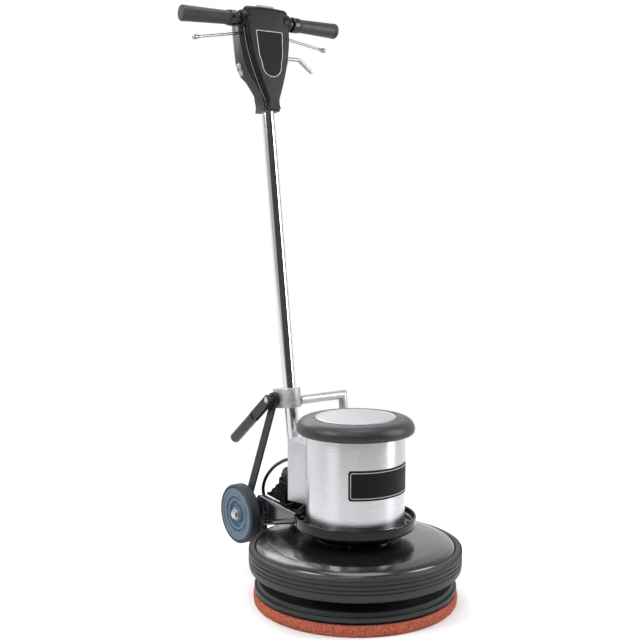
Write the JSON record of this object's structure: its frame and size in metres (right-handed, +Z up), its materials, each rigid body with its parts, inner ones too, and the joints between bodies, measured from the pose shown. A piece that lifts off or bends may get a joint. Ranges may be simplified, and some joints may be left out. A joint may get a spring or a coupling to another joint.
{
  "type": "rotary floor machine",
  "caption": "Walk-behind rotary floor machine: one scrubbing disc under a geared motor, a tilting handle with twin switch levers, and two transport wheels.",
  "frame": {"origin": "on the floor at the centre of the scrubbing disc", "axes": "+X right seen from the front, +Y back towards the wheels and handle, +Z up"},
  "size_m": [0.452, 0.646, 1.2835],
  "materials": {
    "ring_gear": "cut steel",
    "bearings": "sealed bearings",
    "gearcase": "gloss black",
    "deck": "gloss black",
    "bumper": "ribbed black rubber",
    "base_screws": "zinc plated",
    "motor_tray": "gloss black",
    "motor_shell": "brushed stainless",
    "stator_core": "stacked plates",
    "windings": "enamelled copper wire",
    "end_bell": "die cast",
    "motor_cap": "fine grained dark grey",
    "cap_disc": "brushed",
    "motor_label": "black with a pale outline",
    "capacitor_box": "satin grey",
    "capacitors": "moulded cans",
    "motor_lead": "black jacket",
    "lead_gland": "moulded",
    "lead_connector": "moulded",
    "left_arm": "gloss black",
    "right_arm": "gloss black",
    "cross_tube": "gloss black",
    "axle": "zinc plated",
    "axle_nuts": "plated nuts and washers",
    "scrub_pad": "open non-woven nylon, red-orange",
    "grip_face": "short black bristles",
    "pad_driver": "moulded, dark grey-green",
    "clutch_plate": "moulded nylon",
    "drive_hub": "machined casting",
    "output_carrier": "ground steel",
    "planet_gear_1": "machined nylon",
    "planet_gear_2": "machined nylon",
    "planet_gear_3": "machined nylon",
    "sun_gear": "hardened steel",
    "rotor_shaft": "ground steel",
    "rotor_core": "stacked plates",
    "cooling_fan": "moulded",
    "left_wheel": "blue-grey",
    "left_tyre": "non-marking rubber",
    "right_wheel": "blue-grey",
    "right_tyre": "non-marking rubber",
    "handle_socket": "black",
    "handle_tube": "chrome plated",
    "handlebar": "satin black",
    "handle_grips": "dark grey vinyl",
    "head_front": "satin black",
    "head_rear": "satin black",
    "head_screws": "zinc plated",
    "name_panel": "blank, with a pale outline",
    "power_switch": "moulded",
    "cord_gland": "plated saddle",
    "left_lever": "plated",
    "right_lever": "plated",
    "interlock_button": "light grey",
    "upper_hook": "plated",
    "handle_clamp": "bead blasted casting",
    "clamp_bolt": "zinc plated",
    "lower_hook": "satin grey",
    "cam_lever": "black, with a vinyl sleeve",
    "strut": "satin black"
  },
  "bodies": {
    "base": {"ring_gear": "ring_gear", "bearings": "bearings", "gearcase": "gearcase", "deck": "deck", "bumper": "bumper", "base_screws": "base_screws", "motor_tray": "motor_tray", "motor_shell": "motor_shell", "stator_core": "stator_core", "windings": "windings", "end_bell": "end_bell", "motor_cap": "motor_cap", "cap_disc": "cap_disc", "motor_label": "motor_label", "capacitor_box": "capacitor_box", "capacitors": "capacitors", "motor_lead": "motor_lead", "lead_gland": "lead_gland", "lead_connector": "lead_connector", "left_arm": "left_arm", "right_arm": "right_arm", "cross_tube": "cross_tube", "axle": "axle", "axle_nuts": "axle_nuts"},
    "disc": {"scrub_pad": "scrub_pad", "grip_face": "grip_face", "pad_driver": "pad_driver", "clutch_plate": "clutch_plate", "drive_hub": "drive_hub", "output_carrier": "output_carrier"},
    "planet_1": {"planet_gear_1": "planet_gear_1"},
    "planet_2": {"planet_gear_2": "planet_gear_2"},
    "planet_3": {"planet_gear_3": "planet_gear_3"},
    "rotor": {"sun_gear": "sun_gear", "rotor_shaft": "rotor_shaft", "rotor_core": "rotor_core", "cooling_fan": "cooling_fan"},
    "wheel_left": {"left_wheel": "left_wheel", "left_tyre": "left_tyre"},
    "wheel_right": {"right_wheel": "right_wheel", "right_tyre": "right_tyre"},
    "handle": {"handle_socket": "handle_socket", "handle_tube": "handle_tube", "handlebar": "handlebar", "handle_grips": "handle_grips", "head_front": "head_front", "head_rear": "head_rear", "head_screws": "head_screws", "name_panel": "name_panel", "power_switch": "power_switch", "cord_gland": "cord_gland"},
    "lever_left": {"left_lever": "left_lever"},
    "lever_right": {"right_lever": "right_lever"},
    "button": {"interlock_button": "interlock_button"},
    "hook": {"upper_hook": "upper_hook"},
    "clamp": {"handle_clamp": "handle_clamp", "clamp_bolt": "clamp_bolt", "lower_hook": "lower_hook"},
    "cam": {"cam_lever": "cam_lever"},
    "stay": {"strut": "strut"}
  },
  "joints": [
    {"name": "disc_spin", "type": "hinge", "parent": "base", "child": "disc", "pos_m": [0, 0, 0.05], "axis": [0, 0, 1], "continuous": true},
    {"name": "rotor_spin", "type": "hinge", "parent": "base", "child": "rotor", "pos_m": [0, 0, 0.24], "axis": [0, 0, 1], "continuous": true},
    {"name": "planet_1_spin", "type": "hinge", "parent": "disc", "child": "planet_1", "pos_m": [0.0315, 0, 0.126], "axis": [0, 0, 1], "continuous": true},
    {"name": "planet_2_spin", "type": "hinge", "parent": "disc", "child": "planet_2", "pos_m": [-0.01575, 0.02728, 0.126], "axis": [0, 0, 1], "continuous": true},
    {"name": "planet_3_spin", "type": "hinge", "parent": "disc", "child": "planet_3", "pos_m": [-0.01575, -0.02728, 0.126], "axis": [0, 0, 1], "continuous": true},
    {"name": "left_wheel_spin", "type": "hinge", "parent": "base", "child": "wheel_left", "pos_m": [-0.107, 0.286, 0.137], "axis": [1, 0, 0], "continuous": true},
    {"name": "right_wheel_spin", "type": "hinge", "parent": "base", "child": "wheel_right", "pos_m": [0.107, 0.286, 0.137], "axis": [1, 0, 0], "continuous": true},
    {"name": "handle_tilt", "type": "hinge", "parent": "base", "child": "handle", "pos_m": [0, 0.2082, 0.16], "axis": [-1, 0, 0], "range_deg": [0, 36]},
    {"name": "clamp_slide", "type": "slide", "parent": "handle", "child": "clamp", "axis": [0, 0.1336, 0.991], "range_m": [0, 0.052]},
    {"name": "strut_swing", "type": "hinge", "parent": "base", "child": "stay", "pos_m": [-0.09, 0.286, 0.137], "axis": [-1, 0, 0], "range_deg": [0, 37.5]},
    {"name": "cam_release", "type": "hinge", "parent": "clamp", "child": "cam", "pos_m": [-0.0432, 0.26221, 0.3959], "axis": [1, 0, 0], "range_deg": [0, 95]},
    {"name": "left_lever_squeeze", "type": "hinge", "parent": "handle", "child": "lever_left", "pos_m": [-0.04, 0.35358, 1.22311], "axis": [0, 0.991, -0.1336], "range_deg": [0, 10], "stiffness_Nm_per_rad": 1.2, "springref_deg": -14.32},
    {"name": "right_lever_squeeze", "type": "hinge", "parent": "handle", "child": "lever_right", "pos_m": [0.04, 0.35358, 1.22311], "axis": [0, -0.991, 0.1336], "range_deg": [0, 10], "stiffness_Nm_per_rad": 1.2, "springref_deg": -14.32},
    {"name": "button_press", "type": "slide", "parent": "handle", "child": "button", "axis": [0, -0.1336, -0.991], "range_m": [0, 0.0035], "stiffness_N_per_m": 900, "springref_m": -0.003},
    {"name": "hook_turn", "type": "hinge", "parent": "handle", "child": "hook", "pos_m": [0.045, 0.35496, 1.17348], "axis": [1, 0, 0], "range_deg": [0, 180]}
  ],
  "couplings": [
    {"joint": "rotor_spin", "follows": "disc_spin", "ratio": 10},
    {"joint": "planet_1_spin", "follows": "disc_spin", "ratio": -2.25},
    {"joint": "planet_2_spin", "follows": "disc_spin", "ratio": -2.25},
    {"joint": "planet_3_spin", "follows": "disc_spin", "ratio": -2.25},
    {"joint": "clamp_slide", "follows": "handle_tilt", "m_per_rad": 0.0819},
    {"joint": "strut_swing", "follows": "handle_tilt", "ratio": 1.034}
  ]
}
